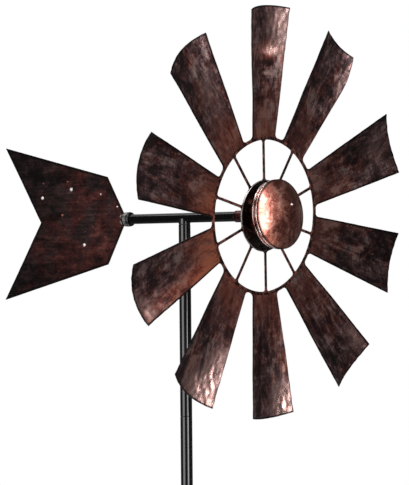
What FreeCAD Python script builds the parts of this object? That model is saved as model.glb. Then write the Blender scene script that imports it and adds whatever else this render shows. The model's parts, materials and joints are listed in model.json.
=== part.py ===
import FreeCAD, Part
import math
import os

# Garden wind spinner: a ten-blade rotor and an arrow tail share one boom,
# and the boom swivels on a sectional pole that stands on a ground stake.
# Millimetres. Origin on the pole axis at ground level, +Z up.
# The boom lies along X, with the rotor at +X and the tail at -X.

V = FreeCAD.Vector
AXIS_X = V(1, 0, 0)
AXIS_Y = V(0, 1, 0)
AXIS_Z = V(0, 0, 1)

# ---- driving dimensions ----
BOOM_Z = 850.0          # boom axis above the ground
POLE_R = 9.0            # pole tubes, outside radius
TUBE_WALL = 1.2         # wall of the pole and boom tubes
SEAM_UPPER_Z = 550.0    # joint between the upper and middle pole
SEAM_LOWER_Z = 275.0    # joint between the middle and lower pole
SPIGOT_HALF = 40.0      # how far a joint spigot reaches into each tube
TUBE_BEVEL = 0.5        # eased outer edge at each tube end

SPIKE_R = 6.0           # centre spike of the stake, below the ground
SPIKE_DEPTH = 175.0     # spike tip below the ground
SPIKE_TIP = 45.0        # length of the spike's point
TIP_BLUNTNESS = 0.08    # flat end of each point, as a share of its radius
SPIKE_GRIP = 60.0       # length of the stake's plug inside the lower pole
STEP_LENGTH = 130.0     # step bar that a foot presses on
STEP_WIDTH = 24.0
STEP_THICK = 5.0        # the step bar lies on the ground
PRONG_R = 4.0
PRONG_Y = 52.0          # side prongs either side of the spike
PRONG_DEPTH = 140.0
PRONG_TIP = 25.0

PIN_R = 3.0             # yaw pivot pin
PIN_TOP = 4.5           # pin end above the boom axis
PIN_BEVEL = 0.75
PLUG_DEPTH = 30.0       # plug inside the top of the upper pole
RUNNING_GAP = 0.05      # radial clearance of each turning fit
SOCKET_TOP = -1.5       # saddle socket, from the boom axis
SOCKET_FOOT = -9.0
WASHER_THICK = 1.0
BUSH_R = 5.0            # yaw bush, outside radius
BUSH_TOP = 5.3

BOOM_R = 7.5
BOOM_TAIL_X = -118.0
BOOM_NOSE_X = 112.0
TAIL_COLLAR_R = 11.0
TAIL_COLLAR_REAR_X = -122.7
TAIL_COLLAR_FRONT_X = -109.5
COLLAR_ROUND = 2.0      # round outer edges of the tail collar
BAND_R = 11.2           # bright band let into the tail collar
BAND_SEAT_R = 9.6
BAND_REAR_X = -118.6
BAND_FRONT_X = -113.2
NOSE_BLOCK_R = 8.9
NOSE_BLOCK_REAR_X = 104.0
NOSE_BLOCK_FRONT_X = 126.0
NOSE_ROUND = 0.8
NOSE_GROOVES_X = (107.5, 113.5)
NOSE_GROOVE_WIDTH = 2.0
NOSE_GROOVE_DEPTH = 0.7

VANE_THICK = 1.5
VANE_NOSE_X = -124.0    # outline of the tail, from the boom axis
VANE_NOSE_Z = 8.0
VANE_SHOULDER_X = -159.0
VANE_SHOULDER_TOP_Z = 66.5
VANE_SHOULDER_FOOT_Z = -69.0
VANE_TAIL_TOP_X = -380.0
VANE_TAIL_TOP_Z = 118.0
VANE_TAIL_FOOT_X = -384.0
VANE_TAIL_FOOT_Z = -123.0
VANE_NOTCH_X = -303.0
VANE_NOTCH_Z = -2.0
VANE_CORNER_R = 2.0
TONGUE_THICK = 3.0      # plate on the collar that carries the vane
TONGUE_REAR_X = -152.0
TONGUE_HALF_HEIGHT = 10.0
TAIL_SCREW_X = -128.5
TAIL_SCREW_Z = 4.2      # screws above and below the boom axis
SCREW_R = 2.0
SCREW_HEAD_R = 3.6
SCREW_HEAD_HEIGHT = 2.2
SCREW_HEAD_ROUND = 1.5
SCREW_END = 1.0         # thread that stands out of a nut
NUT_THICK = 3.0
NUT_FLATS_R = 3.5

WHEEL_X = 159.0         # centre of the wheel plane
AXLE_DROOP = 3.3        # degrees the axle noses down from the boom
SPIN_PHASE = 4.5        # rest angle of the wheel about its axle
BLADE_COUNT = 10
RING_IN_R = 112.8
RING_OUT_R = 117.5
RING_THICK = 2.0
SPOKE_HALF_WIDTH = 2.0
SPOKE_THICK = 1.6
BLADE_WEB_R = 6.0       # round corners where the blades leave the ring
SPOKE_WEB_R = 4.0       # round corners at both ends of each spoke
WEB_SINK = 0.01         # a corner's blank runs this share of the radius past its circle
SHEET = 1.2             # blade sheet
BLADE_ROOT_R = 116.0
BLADE_ROOT_HALF = 27.3
BLADE_TIP_R = 302.0     # tip corners
BLADE_TIP_HALF = 46.9
BLADE_TIP_CROWN = 5.0   # middle of the tip edge beyond its corners
BLADE_LEAN = 6.0        # middle of the tip ahead of the ring
BLADE_CAMBER = 10.5     # tip corners ahead of the tip's middle
BLADE_OVERRUN = 12.0    # blank beyond the finished outline
FLAT_SHARE = 0.005      # the root keeps this share of the tip's curl
PLAN_BACK = -10.0       # cutting prism of the blade outline
PLAN_DEEP = 60.0
TIP_CORNER_R = 3.0

# hub, measured along the axle from the wheel plane
DISH_R = 53.3
DISH_RIM_WIDTH = 2.2
DISH_RIM_BEVEL = 0.9
DISH_FLOOR_R = 44.0
DISH_DEPTH = 7.0
DISH_THICK = 1.5
CAP_TILT = 6.5          # degrees the drum and cap tip up from the axle, being set askew
DRUM_R = 30.0
DRUM_WALL = 4.0
DRUM_FLANGE = 2.0       # inward flange that the hub screws hold
DRUM_FRONT = 19.0
PLATE_HOLE_R = 17.0     # backplate: a shallow pan with two rims
PLATE_SHEET = 1.0
REAR_RIM_R = 50.5
REAR_RIM_FRONT = 21.2
PLATE_WAIST_R = 46.5
FRONT_RIM_REAR = 25.0
FRONT_RIM_R = 51.8
CAP_SEAT = 28.6         # where the dome's skirt meets the backplate
RIM_ROUND = 0.8
WEIGHT_HALF_WIDTH = 8.0 # balance weight in the foot of the pan, against the tipped-up cap
WEIGHT_INNER_R = 34.5
WEIGHT_OUTER_R = 44.5
WEIGHT_THICK = 12.0
DOME_RIM_X = 32.0
DOME_R = 51.8
DOME_HEIGHT = 17.0
DOME_SKIRT_R = 50.8
DOME_SHEET = 1.0
ARC_SAMPLE = 0.3        # angle in radians of the middle point of the dome's arc
SLEEVE_R = 12.0
SLEEVE_FRONT = 18.6
BEARING_R = 9.0
BEARING_LENGTH = 11.0
FLANGE_THICK = 2.0
AXLE_R = 4.0
AXLE_REAR = -44.0
AXLE_FRONT = 31.0
SPACER_R = 7.0
SIDE_GAP = 0.3          # end float between flange and washer
AXLE_WASHER_R = 10.0
AXLE_WASHER_THICK = 1.5
AXLE_NUT_FLATS_R = 6.5
AXLE_NUT_THICK = 6.0
HUB_SCREW_CIRCLE_R = 20.0
HUB_SCREW_COUNT = 3

# ---- derived places ----
DROOP = math.radians(AXLE_DROOP)
TUBE_BORE_R = POLE_R - TUBE_WALL
BOOM_BORE_R = BOOM_R - TUBE_WALL
POLE_TOP_Z = BOOM_Z + SOCKET_FOOT - WASHER_THICK
DISH_FLOOR_X = -DISH_DEPTH
REAR_FLANGE_X = DISH_FLOOR_X - DISH_THICK
REAR_WASHER_X = REAR_FLANGE_X - FLANGE_THICK - SIDE_GAP
FRONT_WASHER_X = SLEEVE_FRONT + FLANGE_THICK + SIDE_GAP


# ---- small builders ----
def rod(radius, start, direction, length):
    """Solid cylinder from a start point."""
    return Part.makeCylinder(radius, length, start, direction)


def tube(outer_r, inner_r, start, direction, length):
    """Hollow cylinder from a start point."""
    return rod(outer_r, start, direction, length).cut(rod(inner_r, start, direction, length))


def block(low, high):
    """Box between two opposite corners."""
    size = high.sub(low)
    return Part.makeBox(size.x, size.y, size.z, low)


def polygon(points):
    """Flat face inside a closed outline of points."""
    return Part.Face(Part.makePolygon(points + [points[0]]))


def turned(profile):
    """Ring turned about the X axis from (along, radius) corner points."""
    return polygon([V(along, radius, 0) for along, radius in profile]).revolve(V(0, 0, 0), AXIS_X, 360)


def hexagon(flats_r, start, direction, thickness):
    """Hexagonal bar, sized by the distance from its axis to a flat."""
    side = V(0, 0, 1) if abs(direction.z) < 0.5 else V(1, 0, 0)
    across = direction.cross(side)
    corner_r = flats_r / math.cos(math.radians(30))
    corners = []
    for step in range(6):
        turn = math.radians(60 * step)
        corners.append(start + side * (corner_r * math.cos(turn)) + across * (corner_r * math.sin(turn)))
    return polygon(corners).extrude(direction * thickness)


def on_axle(shape):
    """Move a shape from the wheel's own frame onto the drooping axle."""
    shape.rotate(V(0, 0, 0), AXIS_Y, AXLE_DROOP)
    shape.translate(V(WHEEL_X, 0, BOOM_Z))
    return shape


def askew(shape):
    """Tip a part of the hub's front up about the centre of the wheel."""
    shape.rotate(V(0, 0, 0), AXIS_Y, -CAP_TILT)
    return shape


def spun(shape, degrees):
    """Copy of a wheel shape turned about the wheel axis."""
    copy = shape.copy()
    copy.rotate(V(0, 0, 0), AXIS_X, degrees)
    return copy


def pointed_rod(radius, top, length, tip_length):
    """Vertical rod that ends in a cone at its foot."""
    shoulder = top - AXIS_Z * (length - tip_length)
    shank = rod(radius, top, -AXIS_Z, length - tip_length)
    tip = Part.makeCone(radius, radius * TIP_BLUNTNESS, tip_length, shoulder, -AXIS_Z)
    return shank.fuse(tip).removeSplitter()


# ---- stake and pole ----
def stake_parts():
    spike = pointed_rod(SPIKE_R, V(0, 0, 0), SPIKE_DEPTH, SPIKE_TIP)
    plug = rod(TUBE_BORE_R, V(0, 0, 0), AXIS_Z, STEP_THICK + SPIKE_GRIP)
    step = block(V(-STEP_WIDTH / 2, -STEP_LENGTH / 2, 0), V(STEP_WIDTH / 2, STEP_LENGTH / 2, STEP_THICK))
    corners = [edge for edge in step.Edges if abs(edge.tangentAt(edge.FirstParameter).z) > 0.9]
    step = step.makeFillet(STEP_WIDTH / 3, corners).cut(plug)
    return {
        "stake_spike": spike.fuse(plug),
        "stake_step": step,
        "stake_prong_left": pointed_rod(PRONG_R, V(0, PRONG_Y, 0), PRONG_DEPTH, PRONG_TIP),
        "stake_prong_right": pointed_rod(PRONG_R, V(0, -PRONG_Y, 0), PRONG_DEPTH, PRONG_TIP),
    }


def pole_tube(foot_z, top_z):
    """Pole section with eased ends."""
    wall = tube(POLE_R, TUBE_BORE_R, V(0, 0, foot_z), AXIS_Z, top_z - foot_z)
    rims = [edge for edge in wall.Edges if edge.Closed and abs(edge.Curve.Radius - POLE_R) < 0.01]
    return wall.makeChamfer(TUBE_BEVEL, rims)


def pole_parts():
    parts = {
        "pole_lower": pole_tube(STEP_THICK, SEAM_LOWER_Z),
        "pole_middle": pole_tube(SEAM_LOWER_Z, SEAM_UPPER_Z),
        "pole_upper": pole_tube(SEAM_UPPER_Z, POLE_TOP_Z),
    }
    for name, seam_z in (("spigot_lower", SEAM_LOWER_Z), ("spigot_upper", SEAM_UPPER_Z)):
        foot = V(0, 0, seam_z - SPIGOT_HALF)
        parts[name] = tube(TUBE_BORE_R, TUBE_BORE_R - TUBE_WALL, foot, AXIS_Z, 2 * SPIGOT_HALF)
    return parts


def pivot_parts():
    plug_foot = V(0, 0, POLE_TOP_Z - PLUG_DEPTH)
    plug = tube(TUBE_BORE_R, PIN_R, plug_foot, AXIS_Z, PLUG_DEPTH)
    pin = rod(PIN_R, plug_foot, AXIS_Z, BOOM_Z + PIN_TOP - plug_foot.z)
    pin_rim = [edge for edge in pin.Edges if edge.Closed and edge.CenterOfMass.z > BOOM_Z]
    pin = pin.makeChamfer(PIN_BEVEL, pin_rim)
    washer = tube(POLE_R - TUBE_BEVEL, PIN_R, V(0, 0, POLE_TOP_Z), AXIS_Z, WASHER_THICK)
    return {"pole_top_plug": plug, "pivot_pin": pin, "thrust_washer": washer}


# ---- swivelling head ----
def swivel_parts():
    boom_core = rod(BOOM_R, V(BOOM_TAIL_X, 0, BOOM_Z), AXIS_X, BOOM_NOSE_X - BOOM_TAIL_X)
    foot = V(0, 0, BOOM_Z + SOCKET_FOOT)
    socket = rod(POLE_R, foot, AXIS_Z, SOCKET_TOP - SOCKET_FOOT)
    socket = socket.cut(boom_core).cut(rod(BUSH_R, foot, AXIS_Z, BOOM_R))
    bush = tube(BUSH_R, PIN_R + RUNNING_GAP, foot, AXIS_Z, BUSH_TOP - SOCKET_FOOT)
    inside = rod(BOOM_BORE_R, V(BOOM_TAIL_X, 0, BOOM_Z), AXIS_X, BOOM_NOSE_X - BOOM_TAIL_X)
    below = block(V(-POLE_R, -POLE_R, BOOM_Z + SOCKET_FOOT), V(POLE_R, POLE_R, BOOM_Z))
    return {"swivel_socket": socket, "swivel_bush": bush.common(inside.fuse(below))}


def boom_tube():
    boom = tube(BOOM_R, BOOM_BORE_R, V(BOOM_TAIL_X, 0, BOOM_Z), AXIS_X, BOOM_NOSE_X - BOOM_TAIL_X)
    return boom.cut(rod(BUSH_R, V(0, 0, BOOM_Z + SOCKET_FOOT), AXIS_Z, -SOCKET_FOOT))


def rounded_collar(radius, rear_x, front_x, rounding):
    """Short solid collar about the boom axis, with round outer edges."""
    collar = rod(radius, V(rear_x, 0, BOOM_Z), AXIS_X, front_x - rear_x)
    rims = [edge for edge in collar.Edges if edge.Closed]
    return collar.makeFillet(rounding, rims)


def boom_ring(outer_r, inner_r, rear_x, front_x):
    """Ring about the boom axis."""
    return tube(outer_r, inner_r, V(rear_x, 0, BOOM_Z), AXIS_X, front_x - rear_x)


def collar_parts():
    tail = rounded_collar(TAIL_COLLAR_R, TAIL_COLLAR_REAR_X, TAIL_COLLAR_FRONT_X, COLLAR_ROUND)
    tail_socket = rod(BOOM_R, V(BOOM_TAIL_X, 0, BOOM_Z), AXIS_X, TAIL_COLLAR_FRONT_X - BOOM_TAIL_X)
    band = boom_ring(BAND_R, BAND_SEAT_R, BAND_REAR_X, BAND_FRONT_X)
    nose = rounded_collar(NOSE_BLOCK_R, NOSE_BLOCK_REAR_X, NOSE_BLOCK_FRONT_X, NOSE_ROUND)
    for groove_x in NOSE_GROOVES_X:
        groove_foot_r = NOSE_BLOCK_R - NOSE_GROOVE_DEPTH
        nose = nose.cut(boom_ring(NOSE_BLOCK_R, groove_foot_r, groove_x, groove_x + NOSE_GROOVE_WIDTH))
    nose_socket = rod(BOOM_R, V(NOSE_BLOCK_REAR_X, 0, BOOM_Z), AXIS_X, BOOM_NOSE_X - NOSE_BLOCK_REAR_X)
    axle_bore = on_axle(rod(AXLE_R, V(AXLE_REAR, 0, 0), AXIS_X, AXLE_FRONT - AXLE_REAR))
    return {
        "tail_collar": tail.cut(tail_socket).cut(band),
        "tail_band": band,
        "nose_block": nose.cut(nose_socket).cut(axle_bore),
    }


def vane_outline():
    """Arrow-shaped outline of the tail, in the upright plane of the boom."""
    corners = [
        (VANE_NOSE_X, VANE_NOSE_Z),
        (VANE_SHOULDER_X, VANE_SHOULDER_TOP_Z),
        (VANE_TAIL_TOP_X, VANE_TAIL_TOP_Z),
        (VANE_NOTCH_X, VANE_NOTCH_Z),
        (VANE_TAIL_FOOT_X, VANE_TAIL_FOOT_Z),
        (VANE_SHOULDER_X, VANE_SHOULDER_FOOT_Z),
        (VANE_NOSE_X, -VANE_NOSE_Z),
    ]
    return [V(x, -VANE_THICK / 2, BOOM_Z + z) for x, z in corners]


def tail_screw_points():
    return [V(TAIL_SCREW_X, 0, BOOM_Z + side * TAIL_SCREW_Z) for side in (1, -1)]


def tail_parts():
    vane = polygon(vane_outline()).extrude(AXIS_Y * VANE_THICK)
    corners = [edge for edge in vane.Edges if abs(edge.tangentAt(edge.FirstParameter).y) > 0.9]
    vane = vane.makeFillet(VANE_CORNER_R, corners)
    near = V(TONGUE_REAR_X, VANE_THICK / 2, BOOM_Z - TONGUE_HALF_HEIGHT)
    far = V(TAIL_COLLAR_REAR_X, VANE_THICK / 2 + TONGUE_THICK, BOOM_Z + TONGUE_HALF_HEIGHT)
    tongue = block(near, far)
    screws = []
    nuts = []
    for centre in tail_screw_points():
        face = centre - AXIS_Y * (VANE_THICK / 2)
        shank_length = VANE_THICK + TONGUE_THICK + NUT_THICK + SCREW_END
        shank = rod(SCREW_R, face, AXIS_Y, shank_length)
        vane = vane.cut(shank)
        tongue = tongue.cut(shank)
        head = rod(SCREW_HEAD_R, face, -AXIS_Y, SCREW_HEAD_HEIGHT)
        front_y = face.y - SCREW_HEAD_ROUND
        rim = [edge for edge in head.Edges if edge.Closed and edge.CenterOfMass.y < front_y]
        screws.append(shank.fuse(head.makeFillet(SCREW_HEAD_ROUND, rim)))
        nut_face = face + AXIS_Y * (VANE_THICK + TONGUE_THICK)
        nuts.append(hexagon(NUT_FLATS_R, nut_face, AXIS_Y, NUT_THICK).cut(shank))
    return {
        "tail_vane": vane,
        "tail_tongue": tongue,
        "tail_screws": Part.makeCompound(screws),
        "tail_nuts": Part.makeCompound(nuts),
    }


def axle_parts():
    axle = rod(AXLE_R, V(AXLE_REAR, 0, 0), AXIS_X, AXLE_FRONT - AXLE_REAR)
    spacer_rear = (NOSE_BLOCK_FRONT_X - WHEEL_X) / math.cos(DROOP) + SPACER_R * math.tan(DROOP)
    spacer_front = REAR_WASHER_X - AXLE_WASHER_THICK
    spacer = tube(SPACER_R, AXLE_R, V(spacer_rear, 0, 0), AXIS_X, spacer_front - spacer_rear)
    rear_washer = tube(AXLE_WASHER_R, AXLE_R, V(spacer_front, 0, 0), AXIS_X, AXLE_WASHER_THICK)
    front_washer = tube(AXLE_WASHER_R, AXLE_R, V(FRONT_WASHER_X, 0, 0), AXIS_X, AXLE_WASHER_THICK)
    nut_start = V(FRONT_WASHER_X + AXLE_WASHER_THICK, 0, 0)
    nut = hexagon(AXLE_NUT_FLATS_R, nut_start, AXIS_X, AXLE_NUT_THICK).cut(axle)
    return {
        "axle": on_axle(axle),
        "axle_spacer": on_axle(spacer),
        "axle_washer_rear": on_axle(rear_washer),
        "axle_washer_front": on_axle(front_washer),
        "axle_nut": on_axle(nut),
    }


# ---- rotor: the wheel lies in the YZ plane of its own frame, facing +X ----
def corner_web(edge_start, spread, circle_r, inside, web_r, thickness):
    """Round corner between a straight edge and a circle about the wheel axis."""
    along = V(0, math.cos(spread), math.sin(spread))
    outward = V(0, -math.sin(spread), math.cos(spread))
    start = V(0, edge_start.y, edge_start.z)
    base = start + outward * web_r
    reach = circle_r - web_r if inside else circle_r + web_r
    offset = base.dot(along)
    travel = math.sqrt(offset ** 2 - base.dot(base) + reach ** 2) - offset
    centre = base + along * travel
    foot = centre - outward * web_r
    stretch = 1 + WEB_SINK if inside else 1 - WEB_SINK
    touch = centre * (stretch * circle_r / reach)
    corner = V(0, math.sqrt((stretch * circle_r) ** 2 - foot.z ** 2), foot.z)
    inner = foot - outward * (SPOKE_HALF_WIDTH / 2)
    inner_corner = corner - outward * (SPOKE_HALF_WIDTH / 2)
    outline = [foot, centre, touch, corner, inner_corner, inner]
    web = polygon(outline).extrude(AXIS_X * thickness)
    web = web.cut(rod(web_r, centre, AXIS_X, thickness))
    web.translate(V(edge_start.x, 0, 0))
    return web


def both_sides(shape):
    """A shape and its mirror image across the radial line of the wheel."""
    return [shape, shape.mirror(V(0, 0, 0), AXIS_Z)]


def blade_section(radius, half_chord, lean, camber):
    """Closed outline of the curved sheet where it crosses one radius."""
    left = V(lean + camber, radius, -half_chord)
    middle = V(lean, radius, 0)
    right = V(lean + camber, radius, half_chord)
    step = V(SHEET, 0, 0)
    back = Part.Arc(left, middle, right).toShape()
    front = Part.Arc(right + step, middle + step, left + step).toShape()
    return Part.Wire([back, Part.makeLine(right, right + step), front, Part.makeLine(left + step, left)])


def blade_plan():
    """Thick prism with the blade's outline seen along the axle, pointing along +Y."""
    root = V(PLAN_BACK, BLADE_ROOT_R - BLADE_OVERRUN, 0)
    spread = math.atan2(BLADE_TIP_HALF - BLADE_ROOT_HALF, BLADE_TIP_R - BLADE_ROOT_R)
    root_half = V(0, 0, BLADE_ROOT_HALF - BLADE_OVERRUN * math.tan(spread))
    tip = V(PLAN_BACK, BLADE_TIP_R, 0)
    tip_half = V(0, 0, BLADE_TIP_HALF)
    crown = Part.Arc(tip - tip_half, tip + V(0, BLADE_TIP_CROWN, 0), tip + tip_half).toShape()
    sides = Part.makePolygon([tip + tip_half, root + root_half, root - root_half, tip - tip_half])
    plan = Part.Face(Part.Wire([crown] + sides.Edges)).extrude(AXIS_X * PLAN_DEEP)
    plan = plan.makeFillet(TIP_CORNER_R, [edge for edge in plan.Edges if is_tip_corner(edge)])
    root_edge = V(PLAN_BACK, BLADE_ROOT_R, BLADE_ROOT_HALF)
    for web in both_sides(corner_web(root_edge, spread, RING_OUT_R, False, BLADE_WEB_R, PLAN_DEEP)):
        plan = plan.fuse(web)
    return plan.cut(rod(RING_OUT_R, V(PLAN_BACK, 0, 0), AXIS_X, PLAN_DEEP))


def is_tip_corner(edge):
    """Whether an edge of the plan prism runs along an outer corner of the blade."""
    middle = edge.CenterOfMass
    return abs(middle.y - BLADE_TIP_R) < 0.1 and abs(abs(middle.z) - BLADE_TIP_HALF) < 0.1


def blade():
    """Cupped blade that points along +Y, with both side edges curled forward."""
    span = BLADE_TIP_R - BLADE_ROOT_R
    sections = []
    for beyond in (-BLADE_OVERRUN, span + BLADE_OVERRUN):
        share = max(beyond / span, FLAT_SHARE)
        half_chord = BLADE_ROOT_HALF + (BLADE_TIP_HALF - BLADE_ROOT_HALF) * share
        wider = (half_chord + BLADE_OVERRUN) / half_chord
        camber = BLADE_CAMBER * share * wider ** 2
        lean = BLADE_LEAN * share
        sections.append(blade_section(BLADE_ROOT_R + beyond, half_chord * wider, lean, camber))
    blank = Part.makeLoft(sections, True, True)
    return blank.common(blade_plan()).removeSplitter()


def spoke():
    """Flat spoke along +Y from the dish rim to the ring, with flared ends."""
    half = V(0, 0, SPOKE_HALF_WIDTH)
    strip = block(V(0, 0, 0) - half, V(SPOKE_THICK, RING_OUT_R, 0) + half)
    for circle_r, inside in ((RING_IN_R, True), (DISH_R, False)):
        for web in both_sides(corner_web(half, 0, circle_r, inside, SPOKE_WEB_R, SPOKE_THICK)):
            strip = strip.fuse(web)
    strip = strip.common(rod(RING_IN_R, V(0, 0, 0), AXIS_X, SPOKE_THICK))
    return strip.cut(rod(DISH_R, V(0, 0, 0), AXIS_X, SPOKE_THICK)).removeSplitter()


def wheel_parts():
    ring_back = V((SPOKE_THICK - RING_THICK) / 2, 0, 0)
    parts = {"wheel_ring": on_axle(tube(RING_OUT_R, RING_IN_R, ring_back, AXIS_X, RING_THICK))}
    one_blade = blade()
    one_spoke = spoke()
    pitch = 360 / BLADE_COUNT
    for index in range(BLADE_COUNT):
        turn = SPIN_PHASE + pitch * (index + 0.5)
        parts["blade_%02d" % (index + 1)] = on_axle(spun(one_blade, turn))
        parts["spoke_%02d" % (index + 1)] = on_axle(spun(one_spoke, turn))
    return parts


def dome_cap():
    """Thin domed cap with a short straight skirt behind its rim."""
    sphere_r = (DOME_R ** 2 + DOME_HEIGHT ** 2) / (2 * DOME_HEIGHT)
    centre_x = DOME_RIM_X + DOME_HEIGHT - sphere_r
    halfway = V(math.cos(ARC_SAMPLE), math.sin(ARC_SAMPLE), 0)
    outer_mid = V(centre_x, 0, 0) + halfway * sphere_r
    inner_r = sphere_r - DOME_SHEET
    inner_mid = V(centre_x, 0, 0) + halfway * inner_r
    apex = V(centre_x + sphere_r, 0, 0)
    inner_apex = V(centre_x + inner_r, 0, 0)
    rim = V(DOME_RIM_X, DOME_R, 0)
    skirt_top = V(DOME_RIM_X, DOME_SKIRT_R, 0)
    skirt_foot = V(CAP_SEAT, DOME_SKIRT_R, 0)
    inner_y = DOME_SKIRT_R - DOME_SHEET
    inner_foot = V(CAP_SEAT, inner_y, 0)
    inner_rim = V(centre_x + math.sqrt(inner_r ** 2 - inner_y ** 2), inner_y, 0)
    edges = [
        Part.Arc(apex, outer_mid, rim).toShape(),
        Part.makeLine(rim, skirt_top),
        Part.makeLine(skirt_top, skirt_foot),
        Part.makeLine(skirt_foot, inner_foot),
        Part.makeLine(inner_foot, inner_rim),
        Part.Arc(inner_rim, inner_mid, inner_apex).toShape(),
        Part.makeLine(inner_apex, apex),
    ]
    return Part.Face(Part.Wire(edges)).revolve(V(0, 0, 0), AXIS_X, 360)


def rear_dish():
    """Shallow dish that opens forward, with a flat rim where the spokes end."""
    return turned([
        (0, DISH_R),
        (SPOKE_THICK - DISH_RIM_BEVEL, DISH_R),
        (SPOKE_THICK, DISH_R - DISH_RIM_BEVEL),
        (SPOKE_THICK, DISH_R - DISH_RIM_WIDTH),
        (DISH_FLOOR_X, DISH_FLOOR_R),
        (DISH_FLOOR_X, BEARING_R),
        (DISH_FLOOR_X - DISH_THICK, BEARING_R),
        (DISH_FLOOR_X - DISH_THICK, DISH_FLOOR_R),
        (0, DISH_R - DISH_RIM_WIDTH / 2),
    ])


def hub_drum():
    """Drum that stands askew on the dish, cut flat at its foot, with a flange inside."""
    blank = askew(tube(DRUM_R, DRUM_R - DRUM_WALL, V(-DRUM_R, 0, 0), AXIS_X, DRUM_R + DRUM_FRONT))
    shell = blank.cut(rod(DISH_R, V(DISH_FLOOR_X, 0, 0), -AXIS_X, DISH_R))
    flange = tube(DRUM_R - DRUM_WALL / 2, SLEEVE_R, V(DISH_FLOOR_X, 0, 0), AXIS_X, DRUM_FLANGE)
    return shell.fuse(flange).removeSplitter()


def cap_backplate():
    """Shallow pan behind the dome, with a round-edged rim at the rear and at the front."""
    wall_r = PLATE_WAIST_R - PLATE_SHEET
    pan = turned([
        (DRUM_FRONT, PLATE_HOLE_R),
        (DRUM_FRONT, REAR_RIM_R),
        (REAR_RIM_FRONT, REAR_RIM_R),
        (REAR_RIM_FRONT, PLATE_WAIST_R),
        (FRONT_RIM_REAR, PLATE_WAIST_R),
        (FRONT_RIM_REAR, FRONT_RIM_R),
        (CAP_SEAT, FRONT_RIM_R),
        (CAP_SEAT, wall_r),
        (DRUM_FRONT + PLATE_SHEET, wall_r),
        (DRUM_FRONT + PLATE_SHEET, PLATE_HOLE_R),
    ])
    rims = [edge for edge in pan.Edges if edge.Closed and edge.Curve.Radius > PLATE_WAIST_R + RIM_ROUND]
    return pan.makeFillet(RIM_ROUND, rims)


def balance_weight():
    """Slug on the floor of the pan, at its foot."""
    floor_x = DRUM_FRONT + PLATE_SHEET
    low = V(floor_x, -WEIGHT_HALF_WIDTH, -WEIGHT_OUTER_R)
    high = V(floor_x + WEIGHT_THICK, WEIGHT_HALF_WIDTH, -WEIGHT_INNER_R)
    return block(low, high)


def flanged_bush(flange_x, into):
    """Plain bearing with a flange outside the hub; into is the way it enters."""
    flange = tube(SLEEVE_R, AXLE_R + RUNNING_GAP, V(flange_x, 0, 0), AXIS_X * -into, FLANGE_THICK)
    body = tube(BEARING_R, AXLE_R + RUNNING_GAP, V(flange_x, 0, 0), AXIS_X * into, BEARING_LENGTH)
    return flange.fuse(body).removeSplitter()


def hub_screws(drum, dish):
    """Screws that hold the dish to the drum, with the holes cut in both."""
    screws = []
    for index in range(HUB_SCREW_COUNT):
        turn = math.radians(90 + 360 / HUB_SCREW_COUNT * index)
        face = V(REAR_FLANGE_X, HUB_SCREW_CIRCLE_R * math.cos(turn), HUB_SCREW_CIRCLE_R * math.sin(turn))
        shank = rod(SCREW_R, face, AXIS_X, DISH_THICK + DRUM_FLANGE + SCREW_END)
        drum = drum.cut(shank)
        dish = dish.cut(shank)
        screws.append(shank.fuse(rod(SCREW_HEAD_R, face, -AXIS_X, SCREW_HEAD_HEIGHT)))
    return Part.makeCompound(screws), drum, dish


def hub_parts():
    screws, drum, dish = hub_screws(hub_drum(), rear_dish())
    sleeve_length = SLEEVE_FRONT - DISH_FLOOR_X
    parts = {
        "hub_dish": dish,
        "hub_drum": drum,
        "hub_screws": screws,
        "bearing_sleeve": tube(SLEEVE_R, BEARING_R, V(DISH_FLOOR_X, 0, 0), AXIS_X, sleeve_length),
        "bearing_rear": flanged_bush(REAR_FLANGE_X, 1),
        "bearing_front": flanged_bush(SLEEVE_FRONT, -1),
        "cap_backplate": askew(cap_backplate()),
        "balance_weight": askew(balance_weight()),
        "dome_cap": askew(dome_cap()),
    }
    return {name: on_axle(shape) for name, shape in parts.items()}


def main():
    os.makedirs("parts", exist_ok=True)
    parts = {"boom_tube": boom_tube()}
    for group in (
        stake_parts, pole_parts, pivot_parts, swivel_parts, collar_parts,
        tail_parts, axle_parts, wheel_parts, hub_parts,
    ):
        parts.update(group())
    for name, shape in parts.items():
        print("%-18s %-5s %10.1f mm3" % (name, shape.isValid(), shape.Volume))
        shape.exportStep("parts/%s.step" % name)


main()
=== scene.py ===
import bpy
import json
import math
from mathutils import Matrix, Vector, noise


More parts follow.
